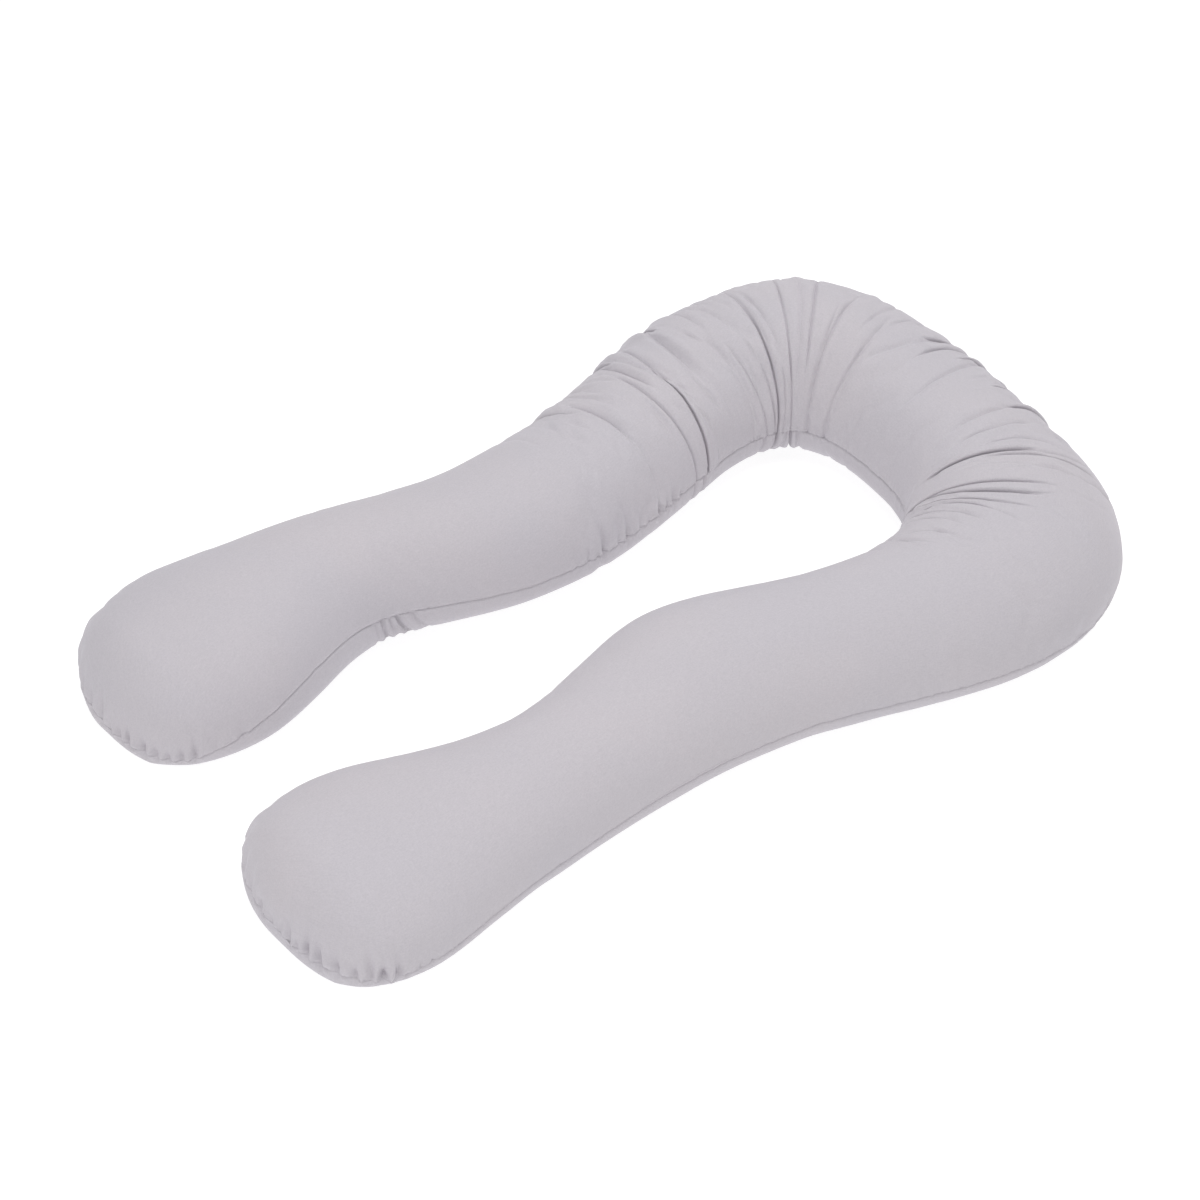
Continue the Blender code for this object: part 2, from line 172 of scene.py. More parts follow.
# ------------------------------------------------------------------ the folds
# One row a crease.  PANEL; S0, S1, S2 its place along the centreline where it
# begins, half way and where it ends; V0, V1 the part of the panel that it
# crosses (0 at the outer seam, 1 at the inner seam); DEEP its depth; HALF half
# the width between its shoulders; CORE half the width of its tight middle;
# LEAN how far its steep side is towards the right foot (+) or left foot (-).
CREASES = (
    # left arm, towards the corner
    ("up", 0.731, 0.736, 0.742, 0.14, 0.52, 0.0020, 0.016, 0.0050, 0.0),
    ("up", 0.780, 0.784, 0.786, 0.10, 0.46, 0.0018, 0.014, 0.0045, -0.3),
    ("up", 0.809, 0.815, 0.812, 0.34, 0.62, 0.0016, 0.010, 0.0030, -0.2),
    ("up", 0.824, 0.829, 0.838, 0.12, 0.46, 0.0060, 0.0100, 0.0024, -0.8),
    ("up", 0.824, 0.826, 0.830, 0.02, 0.28, 0.0060, 0.0080, 0.0018, -0.8),
    ("up", 0.853, 0.851, 0.843, 0.26, 0.74, 0.0082, 0.0140, 0.0040, -0.6),
    ("up", 0.841, 0.840, 0.839, 0.44, 0.72, 0.0018, 0.009, 0.0028, -0.2),
    ("up", 0.868, 0.866, 0.862, 0.20, 0.60, 0.0016, 0.012, 0.0040, -0.2),
    ("up", 0.888, 0.882, 0.878, 0.14, 0.56, 0.0034, 0.012, 0.0036, -0.4),
    ("up", 0.906, 0.902, 0.898, 0.12, 0.48, 0.0022, 0.010, 0.0030, -0.2),
    ("up", 0.930, 0.919, 0.911, 0.44, 0.76, 0.0024, 0.007, 0.0022, -0.3),
    ("up", 0.948, 0.928, 0.923, 0.30, 1.00, 0.0052, 0.0090, 0.0020, -0.6),
    ("up", 0.982, 0.960, 0.948, 0.12, 0.60, 0.0074, 0.0110, 0.0034, -0.6),
    ("up", 0.990, 0.982, 0.974, 0.02, 0.34, 0.0086, 0.0085, 0.0021, -0.8),
    ("up", 1.030, 0.996, 0.966, 0.18, 0.68, 0.0060, 0.0110, 0.0030, -0.5),
    ("up", 0.991, 0.963, 0.948, 0.42, 1.00, 0.0088, 0.0085, 0.0018, -0.8),
    ("up", 1.010, 0.983, 0.984, 0.08, 0.62, 0.0042, 0.009, 0.0026, -0.3),
    ("up", 1.078, 1.040, 1.018, 0.20, 0.74, 0.0084, 0.014, 0.0056, -0.5),
    ("up", 1.088, 1.080, 1.068, 0.02, 0.34, 0.0090, 0.0085, 0.0021, -0.8),
    ("up", 1.122, 1.118, 1.112, 0.02, 0.26, 0.0064, 0.0070, 0.0018, -0.7),
    ("up", 1.050, 1.048, 1.042, 0.62, 0.98, 0.0016, 0.008, 0.0024, 0.0),
    ("up", 1.071, 1.083, 1.078, 0.46, 1.00, 0.0020, 0.008, 0.0022, -0.2),
    ("up", 1.100, 1.109, 1.100, 0.14, 0.52, 0.0040, 0.010, 0.0030, -0.5),
    ("up", 1.086, 1.089, 1.081, 0.42, 0.86, 0.0028, 0.009, 0.0026, -0.3),
    ("up", 1.111, 1.109, 1.124, 0.52, 1.00, 0.0044, 0.0080, 0.0017, -0.4),
    ("up", 1.125, 1.121, 1.129, 0.60, 0.94, 0.0022, 0.006, 0.0018, 0.0),
    ("up", 1.130, 1.135, 1.144, 0.28, 0.68, 0.0026, 0.011, 0.0032, -0.2),
    ("up", 1.146, 1.148, 1.151, 0.68, 1.00, 0.0046, 0.0060, 0.0014, 0.1),
    ("up", 1.177, 1.175, 1.172, 0.20, 0.62, 0.0048, 0.0110, 0.0028, 0.1),
    ("up", 1.175, 1.171, 1.162, 0.44, 1.00, 0.0095, 0.0080, 0.0017, 0.1),
    ("up", 1.184, 1.191, 1.204, 0.32, 0.76, 0.0044, 0.010, 0.0030, 0.2),
    ("up", 1.197, 1.196, 1.183, 0.70, 1.00, 0.0036, 0.0055, 0.0016, 0.1),
    ("up", 1.230, 1.227, 1.223, 0.20, 1.00, 0.0050, 0.0085, 0.0015, 0.1),
    ("up", 1.244, 1.240, 1.236, 0.02, 0.34, 0.0050, 0.0060, 0.0016, -0.4),
    ("up", 1.252, 1.257, 1.243, 0.20, 0.92, 0.0044, 0.011, 0.0030, 0.0),
    ("up", 1.277, 1.277, 1.290, 0.16, 0.90, 0.0052, 0.008, 0.0020, -0.2),
    ("up", 1.308, 1.314, 1.317, 0.38, 0.72, 0.0022, 0.008, 0.0024, 0.0),
    ("up", 1.336, 1.320, 1.330, 0.20, 1.00, 0.0052, 0.0110, 0.0024, -0.3),
    ("up", 1.361, 1.361, 1.361, 0.24, 0.60, 0.0030, 0.010, 0.0030, 0.0),
    ("up", 1.372, 1.388, 1.392, 0.36, 1.00, 0.0046, 0.011, 0.0026, -0.4),
    # outer edge of the head
    ("up", 1.352, 1.356, 1.362, 0.04, 0.30, 0.0036, 0.011, 0.0030, 0.2),
    ("up", 1.404, 1.390, 1.386, 0.14, 0.54, 0.0034, 0.0090, 0.0022, 0.5),
    ("up", 1.441, 1.440, 1.427, 0.10, 0.42, 0.0125, 0.0095, 0.0024, 0.8),
    ("up", 1.447, 1.428, 1.400, 0.26, 0.66, 0.0040, 0.0100, 0.0030, 0.5),
    ("up", 1.480, 1.459, 1.458, 0.08, 0.56, 0.0076, 0.0085, 0.0022, 0.7),
    ("up", 1.512, 1.494, 1.486, 0.05, 0.40, 0.0102, 0.0085, 0.0022, 0.7),
    ("up", 1.492, 1.506, 1.525, 0.20, 0.66, 0.0038, 0.0100, 0.0026, 0.5),
    ("up", 1.547, 1.537, 1.530, 0.04, 0.32, 0.0058, 0.0080, 0.0020, 0.7),
    ("up", 1.576, 1.562, 1.557, 0.05, 0.40, 0.0092, 0.0085, 0.0021, 0.7),
    ("up", 1.632, 1.611, 1.607, 0.06, 0.42, 0.0125, 0.0090, 0.0023, 0.8),
    ("up", 1.606, 1.613, 1.634, 0.32, 0.70, 0.0038, 0.0100, 0.0028, 0.5),
    ("up", 1.657, 1.645, 1.677, 0.16, 0.76, 0.0046, 0.0090, 0.0022, 0.6),
    # right corner
    ("up", 1.714, 1.682, 1.692, 0.24, 0.66, 0.0040, 0.0070, 0.0018, 0.6),
    ("up", 1.714, 1.709, 1.706, 0.20, 0.62, 0.0046, 0.0080, 0.0020, 0.6),
    ("up", 1.706, 1.705, 1.702, 0.42, 0.88, 0.0125, 0.0090, 0.0021, 0.8),
    ("up", 1.734, 1.720, 1.718, 0.18, 0.66, 0.0056, 0.0060, 0.0016, 0.8),
    ("up", 1.744, 1.744, 1.740, 0.22, 0.60, 0.0030, 0.009, 0.0028, 0.2),
    ("up", 1.776, 1.794, 1.822, 0.40, 0.98, 0.0074, 0.0080, 0.0019, 0.7),
    ("up", 1.788, 1.821, 1.786, 0.42, 1.00, 0.0140, 0.0095, 0.0025, 0.8),
    ("up", 1.824, 1.850, 1.846, 0.44, 0.96, 0.0056, 0.0060, 0.0017, 0.7),
    ("up", 1.866, 1.868, 1.906, 0.50, 0.96, 0.0056, 0.0070, 0.0018, 0.6),
    ("up", 1.892, 1.898, 1.926, 0.50, 0.96, 0.0048, 0.0070, 0.0018, 0.5),
    ("up", 1.922, 1.923, 1.950, 0.54, 0.92, 0.0036, 0.0070, 0.0018, 0.5),
    ("up", 1.944, 1.956, 2.006, 0.52, 0.80, 0.0042, 0.0080, 0.0020, 0.4),
    ("up", 1.978, 1.998, 2.020, 0.58, 0.80, 0.0044, 0.011, 0.0032, 0.2),
    ("up", 2.004, 2.006, 2.014, 0.52, 0.98, 0.0030, 0.012, 0.0032, 0.3),
    ("up", 2.050, 2.054, 2.060, 0.68, 1.00, 0.0022, 0.011, 0.0030, 0.0),
    # under the inner corners
    ("low", 1.118, 1.120, 1.120, 0.62, 1.00, 0.0080, 0.014, 0.0040, 0.3),
    ("low", 1.158, 1.160, 1.164, 0.58, 1.00, 0.0140, 0.014, 0.0030, 0.4),
    ("low", 1.196, 1.200, 1.210, 0.62, 1.00, 0.0080, 0.013, 0.0036, 0.0),
    ("low", 1.240, 1.238, 1.226, 0.58, 1.00, 0.0130, 0.013, 0.0030, 0.0),
    ("low", 1.290, 1.284, 1.280, 0.62, 1.00, 0.0060, 0.014, 0.0040, 0.0),
    ("low", 1.396, 1.398, 1.400, 0.66, 0.98, 0.0050, 0.014, 0.0040, 0.0),
    ("low", 1.448, 1.450, 1.452, 0.70, 0.98, 0.0036, 0.013, 0.0040, 0.0),
    ("low", 1.690, 1.700, 1.712, 0.60, 1.00, 0.0060, 0.013, 0.0040, 0.0),
    ("low", 1.752, 1.760, 1.770, 0.58, 1.00, 0.0100, 0.015, 0.0040, 0.2),
    ("low", 1.800, 1.805, 1.815, 0.58, 1.00, 0.0120, 0.015, 0.0036, 0.0),
    ("low", 1.850, 1.855, 1.865, 0.58, 1.00, 0.0100, 0.015, 0.0040, 0.0),
    ("low", 1.905, 1.905, 1.910, 0.60, 1.00, 0.0070, 0.014, 0.0040, 0.0),
    ("low", 0.440, 0.424, 0.404, 0.66, 1.00, 0.0070, 0.009, 0.0030, 0.4),
    ("low", 0.414, 0.402, 0.388, 0.70, 1.00, 0.0038, 0.008, 0.0030, 0.3),
    ("low", 0.462, 0.444, 0.420, 0.68, 1.00, 0.0050, 0.008, 0.0030, 0.4),
    ("low", 0.480, 0.464, 0.436, 0.66, 1.00, 0.0088, 0.009, 0.0030, 0.5),
    ("low", 0.506, 0.490, 0.464, 0.70, 1.00, 0.0050, 0.009, 0.0032, 0.3),
    ("low", 0.940, 0.942, 0.944, 0.64, 1.00, 0.0080, 0.010, 0.0026, 0.4),
    ("low", 0.918, 0.918, 0.922, 0.74, 1.00, 0.0064, 0.009, 0.0026, 0.2),
    # under the outer edge of the head
    ("low", 1.446, 1.440, 1.436, 0.00, 0.26, 0.0060, 0.012, 0.0034, 0.5),
    ("low", 1.498, 1.500, 1.500, 0.00, 0.24, 0.0048, 0.011, 0.0034, 0.4),
    ("low", 1.572, 1.570, 1.566, 0.00, 0.22, 0.0040, 0.011, 0.0034, 0.3),
    ("low", 1.636, 1.630, 1.626, 0.00, 0.28, 0.0060, 0.012, 0.0034, 0.5),
    ("low", 1.334, 1.320, 1.310, 0.00, 0.22, 0.0036, 0.012, 0.0040, 0.0),
    ("low", 1.010, 1.000, 0.992, 0.00, 0.22, 0.0040, 0.011, 0.0036, -0.3),
)

# One row a bulge between creases: panel, place along the centreline at its two
# ends, the part of the panel that it crosses, its height and half width.
BULGES = (
    ("up", 1.262, 1.250, 0.02, 0.46, 0.0044, 0.010),
    ("up", 1.102, 1.106, 0.02, 0.42, 0.0046, 0.014),
    ("up", 1.056, 1.052, 0.02, 0.40, 0.0064, 0.010),
    ("up", 1.006, 0.990, 0.00, 0.46, 0.0052, 0.011),
    ("up", 0.846, 0.852, 0.00, 0.40, 0.0036, 0.013),
    ("up", 1.334, 1.332, 0.03, 0.40, 0.0022, 0.012),
    ("up", 1.424, 1.416, 0.04, 0.44, 0.0030, 0.014),
    ("up", 1.456, 1.450, 0.04, 0.40, 0.0036, 0.009),
    ("up", 1.486, 1.486, 0.04, 0.44, 0.0042, 0.011),
    ("up", 1.528, 1.530, 0.04, 0.44, 0.0030, 0.014),
    ("up", 1.558, 1.562, 0.04, 0.44, 0.0028, 0.012),
    ("up", 1.612, 1.598, 0.02, 0.40, 0.0048, 0.011),
    ("up", 1.650, 1.654, 0.04, 0.50, 0.0030, 0.012),
    ("up", 1.188, 1.190, 0.30, 1.00, 0.0030, 0.010),
    ("up", 0.978, 0.958, 0.20, 1.00, 0.0030, 0.012),
    ("up", 1.745, 1.765, 0.30, 0.84, 0.0034, 0.020),
    ("up", 1.064, 1.046, 0.22, 0.62, 0.0022, 0.008),
)

# One row a pucker where the stitching gathers the cloth: place along the
# centreline, which seam, its depth, half width along the seam and its reach
# up the upper panel and down the lower panel.
PUCKERS = (
    (0.733, "inner", 0.0105, 0.0042, 0.050, 0.026),
    (0.722, "inner", 0.0040, 0.0036, 0.034, 0.012),
    (0.709, "inner", 0.0040, 0.0038, 0.030, 0.012),
    (0.690, "inner", 0.0028, 0.0040, 0.026, 0.010),
    (0.758, "inner", 0.0040, 0.0038, 0.030, 0.010),
    (0.774, "inner", 0.0068, 0.0042, 0.054, 0.012),
    (0.798, "inner", 0.0036, 0.0038, 0.034, 0.010),
    (0.814, "inner", 0.0030, 0.0036, 0.036, 0.010),
    (0.838, "inner", 0.0072, 0.0042, 0.044, 0.014),
    (0.852, "inner", 0.0048, 0.0036, 0.036, 0.012),
    (0.868, "inner", 0.0058, 0.0040, 0.032, 0.014),
    (0.884, "inner", 0.0034, 0.0038, 0.024, 0.010),
    (0.660, "inner", 0.0020, 0.0044, 0.018, 0.008),
    (0.620, "inner", 0.0012, 0.0050, 0.016, 0.008),
    (0.111, "inner", 0.0034, 0.0045, 0.018, 0.006),
    (0.448, "inner", 0.0014, 0.0050, 0.008, 0.030),
    (0.408, "inner", 0.0014, 0.0050, 0.008, 0.030),
    (2.918, "outer", 0.0036, 0.0045, 0.018, 0.006),
    (2.700, "outer", 0.0010, 0.0050, 0.012, 0.006),
    (2.330, "outer", 0.0010, 0.0050, 0.012, 0.006),
    (0.092, "outer", 0.0046, 0.0060, 0.060, 0.018),
    (0.120, "outer", 0.0052, 0.0060, 0.064, 0.018),
    (0.150, "outer", 0.0040, 0.0060, 0.056, 0.014),
)

# One row a gather round the end of a foot: which foot, its bearing in plan
# (degrees, 0 points out along -Y, positive towards +X), depth, half width and
# its reach up the upper panel and down the lower panel.
GATHERS = (
    ("left", -76, 0.0055, 0.0044, 0.041, 0.012),
    ("left", -58, 0.0064, 0.0042, 0.043, 0.013),
    ("left", -42, 0.0049, 0.0040, 0.038, 0.012),
    ("left", -27, 0.0058, 0.0040, 0.041, 0.013),
    ("left", -12, 0.0065, 0.0038, 0.035, 0.012),
    ("left", 2, 0.0096, 0.0036, 0.043, 0.012),
    ("left", 12, 0.0052, 0.0034, 0.024, 0.010),
    ("left", 21, 0.0083, 0.0036, 0.035, 0.012),
    ("left", 29, 0.0101, 0.0036, 0.041, 0.013),
    ("left", 41, 0.0122, 0.0040, 0.030, 0.014),
    ("left", 50, 0.0104, 0.0040, 0.024, 0.013),
    ("left", 58, 0.0073, 0.0036, 0.022, 0.012),
    ("left", 66, 0.0078, 0.0034, 0.030, 0.012),
    ("left", 73, 0.0078, 0.0032, 0.035, 0.010),
    ("left", 84, 0.0039, 0.0034, 0.016, 0.008),
    ("right", -78, 0.0049, 0.0042, 0.035, 0.012),
    ("right", -60, 0.0058, 0.0042, 0.041, 0.013),
    ("right", -44, 0.0045, 0.0040, 0.035, 0.012),
    ("right", -30, 0.0055, 0.0038, 0.038, 0.012),
    ("right", -16, 0.0109, 0.0032, 0.016, 0.014),
    ("right", -3, 0.0052, 0.0038, 0.024, 0.010),
    ("right", 6, 0.0057, 0.0036, 0.027, 0.010),
    ("right", 15, 0.0091, 0.0040, 0.038, 0.012),
    ("right", 23, 0.0073, 0.0034, 0.030, 0.011),
    ("right", 31, 0.0130, 0.0040, 0.046, 0.014),
    ("right", 40, 0.0101, 0.0036, 0.041, 0.013),
    ("right", 51, 0.0096, 0.0034, 0.035, 0.012),
    ("right", 61, 0.0086, 0.0034, 0.035, 0.012),
    ("right", 68, 0.0101, 0.0034, 0.041, 0.012),
    ("right", 74, 0.0156, 0.0044, 0.027, 0.016),
    ("right", 81, 0.0104, 0.0034, 0.030, 0.013),
    ("right", 92, 0.0039, 0.0036, 0.016, 0.008),
)

# Areas with fine slack wrinkles: place along the centreline from and to, part
# of the upper panel from and to, and how many there are.
SLACK = (
    (0.800, 0.900, 0.10, 0.60, 5),
    (0.890, 1.010, 0.04, 0.90, 18),
    (1.010, 1.130, 0.04, 0.96, 20),
    (1.130, 1.400, 0.04, 0.56, 14),
    (1.400, 1.680, 0.02, 0.46, 22),
    (1.660, 1.780, 0.14, 0.80, 8),
    (1.780, 2.000, 0.48, 1.00, 18),
)

SEAM_DRAW, SEAM_DRAW_HALF = 0.0011, 0.0048      # the seam pulls the cloth in
SEAM_LINE, SEAM_LINE_HALF = 0.0016, 0.0007      # and the two panels meet in a line
SEAM_ROLL, SEAM_ROLL_AT = 0.0007, 0.0022        # beside which the allowance lies under the cloth


TUCK = 0.75         # how far a slot runs in under the lobe, as a part of its depth


def midline(row, v):
    """Where a crease lies along the tube as it crosses the panel."""
    _, s0, s1, s2, v0, v1 = row[:6]
    t = np.clip((v - v0) / (v1 - v0), 0, 1)
    return s0 * (1 - t) * (1 - 2 * t) + 4 * s1 * t * (1 - t) + s2 * t * (2 * t - 1)


def crossing(v, v0, v1):
    """How open a fold is on its way from v0 to v1; it stays open at a seam."""
    span = v1 - v0
    grow = np.ones_like(v) if v0 <= 0 else smoothstep((v - v0) / (0.38 * span))
    fade = np.ones_like(v) if v1 >= 1 else smoothstep((v1 - v) / (0.38 * span))
    return grow * fade * ((v >= v0) & (v <= v1))


# ------------------------------------------------------- mesh lines of the skin
def spaced(a, b, count):
    return a + (b - a) * np.arange(count) / count


BEND_A, BEND_B, BEND_RINGS = 0.68, 2.12, 646
EVEN = np.linspace(BEND_A, BEND_B, 3600)


def stretch_at(s, v, upper):
    e = 5e-4
    return np.linalg.norm(plain_point(s + e, v, upper) - plain_point(s - e, v, upper), axis=-1) / (2 * e)


def ring_density(v, panel):
    """How close the rings lie along one mesh line: closest at its creases."""
    near = stretch_at(EVEN, np.full(len(EVEN), v), panel == "up")
    density = 0.6 + 0.3 * np.clip(near, 0.3, 2.0)
    for row in CREASES:
        if row[0] != panel:
            continue
        centre = float(midline(row, np.array([v]))[0])
        if not BEND_A + 0.01 < centre < BEND_B - 0.01:
            continue
        open_ = float(smoothstep(1.0 - max(row[4] - v, v - row[5], 0.0) / 0.14))
        k = float(np.interp(centre, EVEN, near))
        wide = 1.9 * row[8] / max(k, 0.30)
        density = density + 3.6 * open_ * min(1.0, row[6] / 0.006) * np.exp(-((EVEN - centre) / wide) ** 2) * min(1.0, k / 0.5)
    return np.concatenate([[0], np.cumsum(0.5 * (density[1:] + density[:-1]))])


def bend_rings(lines, panel):
    """Places of the rings through the bend on every mesh line.  The main
    creases each keep one ring of their own all the way across the panel."""
    main = [r for r in CREASES if r[0] == panel and r[6] >= 0.0052 and r[4] < 0.62 and BEND_A + 0.02 < r[2] < BEND_B - 0.02]
    main.sort(key=lambda r: float(midline(r, np.array([0.55]))[0]))
    totals = [ring_density(v, panel) for v in lines]
    knots, share = [], []
    for v, total in zip(lines, totals):
        c = [float(midline(r, np.array([v]))[0]) for r in main]
        for i in range(1, len(c)):
            c[i] = max(c[i], c[i - 1] + 0.0045)
        knots.append(np.interp([BEND_A] + c + [BEND_B], EVEN, total))
        share.append(knots[-1] / total[-1])
    own = np.round(np.mean(share, axis=0) * BEND_RINGS).astype(int)
    return [np.interp(np.interp(np.arange(BEND_RINGS), own, k), total, EVEN) for k, total in zip(knots, totals)]


def ring_places(lines, panel):
    t = np.linspace(0, math.pi / 2, 82)
    left = FOOT_TIP + (CAP_LEFT - FOOT_TIP) * (1 - np.cos(t))
    right = LENGTH - FOOT_TIP - (CAP_RIGHT - FOOT_TIP) * (1 - np.cos(t))
    before = np.concatenate([left[:-1], spaced(CAP_LEFT, 0.17, 30), spaced(0.17, 0.385, 15), spaced(0.385, 0.50, 38), spaced(0.50, BEND_A, 14)])
    after = np.concatenate([spaced(BEND_B, 2.87, 66), spaced(2.87, LENGTH - CAP_RIGHT, 30), right[::-1]])
    cols = np.array([np.concatenate([before, bend, after]) for bend in bend_rings(lines, panel)]).T
    # ease the rings over from one mesh line to the next
    gap = np.abs(np.subtract.outer(lines, lines))
    weight = np.exp(-(gap / 0.022) ** 2)
    return cols @ (weight / weight.sum(1, keepdims=True)).T


def lines_upper(n=64):
    t = np.linspace(0, 1, n + 1)
    v = t - 0.30 * np.sin(2 * np.pi * t) / (2 * np.pi)
    extra = np.array([0.0022, 0.0052, 0.0110, 0.0260])
    return np.unique(np.r_[v, extra, 1 - extra])


def lines_lower():
    side = np.array([0.0028, 0.0110, 0.030, 0.058, 0.092, 0.135, 0.185, 0.240, 0.295, 0.350, 0.400])
    flat = np.array([0.45, 0.50, 0.55])
    return np.r_[side, flat, 1 - side[::-1]]


V, W = lines_upper(), lines_lower()
NV, NM = len(V), len(V) + len(W)
S_UP = ring_places(V, "up")
NR = len(S_UP)
# the lower panel's rings start and end where the upper panel's do
S_LOW = S_UP[:, :1] * (1 - W)[None] + S_UP[:, -1:] * W[None]
S_ALL = np.concatenate([S_UP, S_LOW[:, ::-1]], axis=1)
V_ALL = np.broadcast_to(np.r_[V, W[::-1]][None], (NR, NM))
PANELS = {"up": (slice(0, NV), True), "low": (slice(NV, NM), False)}


def both(fn):
    return np.concatenate([fn(S_ALL[:, :NV], V_ALL[:, :NV], True), fn(S_ALL[:, NV:], V_ALL[:, NV:], False)], axis=1)


BASE = both(plain_point)


def frame_at(s, v, upper):
    """Unit direction along the tube and outward normal of the plain skin."""
    e = 4e-4
    along = plain_point(s + e, v, upper) - plain_point(s - e, v, upper)
    a, b = np.clip(v - 2e-3, 0, 1), np.clip(v + 2e-3, 0, 1)
    around = plain_point(s, b, upper) - plain_point(s, a, upper)
    n = np.cross(around, along) if upper else np.cross(along, around)
    return np.stack([unit(along), unit(n)], 0)


_f = [frame_at(S_ALL[:, c], V_ALL[:, c], u) for c, u in PANELS.values()]
ALONG = np.concatenate([_f[0][0], _f[1][0]], axis=1)
NORMAL = np.concatenate([_f[0][1], _f[1][1]], axis=1)
_mid = BASE.mean(axis=1, keepdims=True)
if ((BASE - _mid) * NORMAL).sum() < 0:
    NORMAL = -NORMAL
STRETCH = both(stretch_at)
HALF_HERE = both(lambda s, v, u: sections(s.ravel())["half"].reshape(s.shape))
SIZE = np.clip(HALF_HERE / 0.10, 0, 1)

# distance from each seam round the section, in metres, for every mesh point
_step = np.linalg.norm(np.roll(BASE, -1, axis=1) - BASE, axis=-1)
_up = np.concatenate([np.zeros((NR, 1)), np.cumsum(_step[:, :NV - 1], axis=1)], axis=1)
GIRTH_UP = _up[:, -1:]
_low = np.cumsum(_step[:, NV - 1:], axis=1)
GIRTH_LOW = _low[:, -1:]
FROM_OUTER = np.concatenate([_up, GIRTH_LOW - _low[:, :-1]], axis=1)
FROM_INNER = np.concatenate([GIRTH_UP - _up, _low[:, :-1]], axis=1)
IS_UP = np.broadcast_to(np.arange(NM)[None] < NV, (NR, NM))
CLOTH_U = np.concatenate([_up, GIRTH_UP + _low[:, :-1]], axis=1)
CLOTH_END = (GIRTH_UP + GIRTH_LOW)[:, 0]

# the ends of the feet: rings that shrink from the last section onto the seam
TIP_RINGS = 8
CHORDS = [(BASE[0, 0], BASE[0, NV - 1]), (BASE[-1, 0], BASE[-1, NV - 1])]


def on_chord(points, chord):
    a, b = chord
    t = np.clip(((points - a) @ (b - a)) / ((b - a) @ (b - a)), 0, 1)
    return a + t[..., None] * (b - a)


def tip_rings(end, inner):
    """Places, normals and distance from the last section of one foot's tip rings."""
    away = BASE[end].mean(0) - BASE[inner].mean(0)
    away = unit(away * (1, 1, 0))
    k = np.arange(1, TIP_RINGS + 1) / TIP_RINGS
    f = (0.992 * (1 - (1 - k) ** 1.6))[:, None, None]
    target = on_chord(BASE[end], CHORDS[0 if end == 0 else 1])
    places = BASE[end] + f * (target - BASE[end]) + away * 0.0010 * np.sqrt(1 - (1 - f) ** 2)
    normals = unit(NORMAL[end] * (1 - f) + away * (0.3 + f))
    return places, normals, np.linalg.norm(places - BASE[end], axis=-1)


_p0, _n0, _d0 = tip_rings(0, 12)
_p1, _n1, _d1 = tip_rings(-1, -13)


def with_tips(a, first=None, last=None):
    first = np.repeat(a[:1], TIP_RINGS, axis=0) if first is None else first
    last = np.repeat(a[-1:], TIP_RINGS, axis=0) if last is None else last
    return np.concatenate([first, a, last])


S_ALL = with_tips(S_ALL, S_ALL[0] - _d0[::-1], S_ALL[-1] + _d1)
BASE = with_tips(BASE, _p0[::-1], _p1)
NORMAL = with_tips(NORMAL, _n0[::-1], _n1)
ALONG, STRETCH, SIZE, V_ALL = with_tips(ALONG), with_tips(STRETCH), with_tips(SIZE), with_tips(V_ALL)
FROM_OUTER, FROM_INNER, IS_UP = with_tips(FROM_OUTER), with_tips(FROM_INNER), with_tips(IS_UP)
CLOTH_U, CLOTH_END = with_tips(CLOTH_U), with_tips(CLOTH_END)
NR = len(BASE)
SEAM_GAP = np.minimum(FROM_OUTER, FROM_INNER)
for _chord in CHORDS:
    SEAM_GAP = np.minimum(SEAM_GAP, np.linalg.norm(BASE - on_chord(BASE, _chord), axis=-1))
SEAM_SIZE = np.clip(np.maximum(SIZE, smoothstep((0.03 - np.minimum(S_ALL, LENGTH - S_ALL)) / 0.02)), 0, 1)


def valley(x, half, core, lean, deep):
    """Cross-section of a crease, 0 to -1, and how far a point is down its slot.
    A shallow crease is a soft dip, steeper on one side.  A deep one ends in a
    slot: the cloth dips gently on the near side and tucks under a full lobe."""
    tilt = np.where(x > 0, lean, -lean)
    near, under = np.clip(tilt, 0, 1), np.clip(-tilt, 0, 1)
    slot = float(smoothstep((deep / np.max(core) - 1.8) / 2.4))
    share = 0.40 - 0.22 * slot - (0.26 - 0.16 * slot) * near - 0.06 * slot * under
    far = np.abs(x)
    wide = np.exp(-1.15 * (far / (half * (1 - 0.45 * near))) ** 1.25)
    tight = np.exp(-(far / (core * (1 - 0.20 * near))) ** (1.3 + 1.9 * slot))
    lobe = np.exp(-((far - half * (1.10 - 0.35 * near - 0.30 * slot * under)) / (half * (0.45 - 0.15 * near))) ** 2)
    return -share * wide - (1.02 - share) * tight + (0.13 - 0.09 * slot * near) * lobe, tight * slot


def slack_creases():
    """Short shallow creases, strewn by a fixed seed over the slack areas."""
    rng = np.random.default_rng(41)
    rows = []
    for s0, s1, v0, v1, count in SLACK:
        for _ in range(count):
            span = rng.uniform(0.14, 0.36) * min(1.0, (v1 - v0) / 0.5)
            start = rng.uniform(v0, max(v0, v1 - span))
            where = rng.uniform(s0, s1)
            skew, bow = rng.normal(0, 0.005), rng.normal(0, 0.002)
            rows.append(("up", where - skew, where + bow, where + skew, start, start + span,
                         rng.uniform(0.0009, 0.0032), rng.uniform(0.005, 0.010), rng.uniform(0.0018, 0.0030),
                         rng.uniform(-0.5, 0.7)))
    return rows


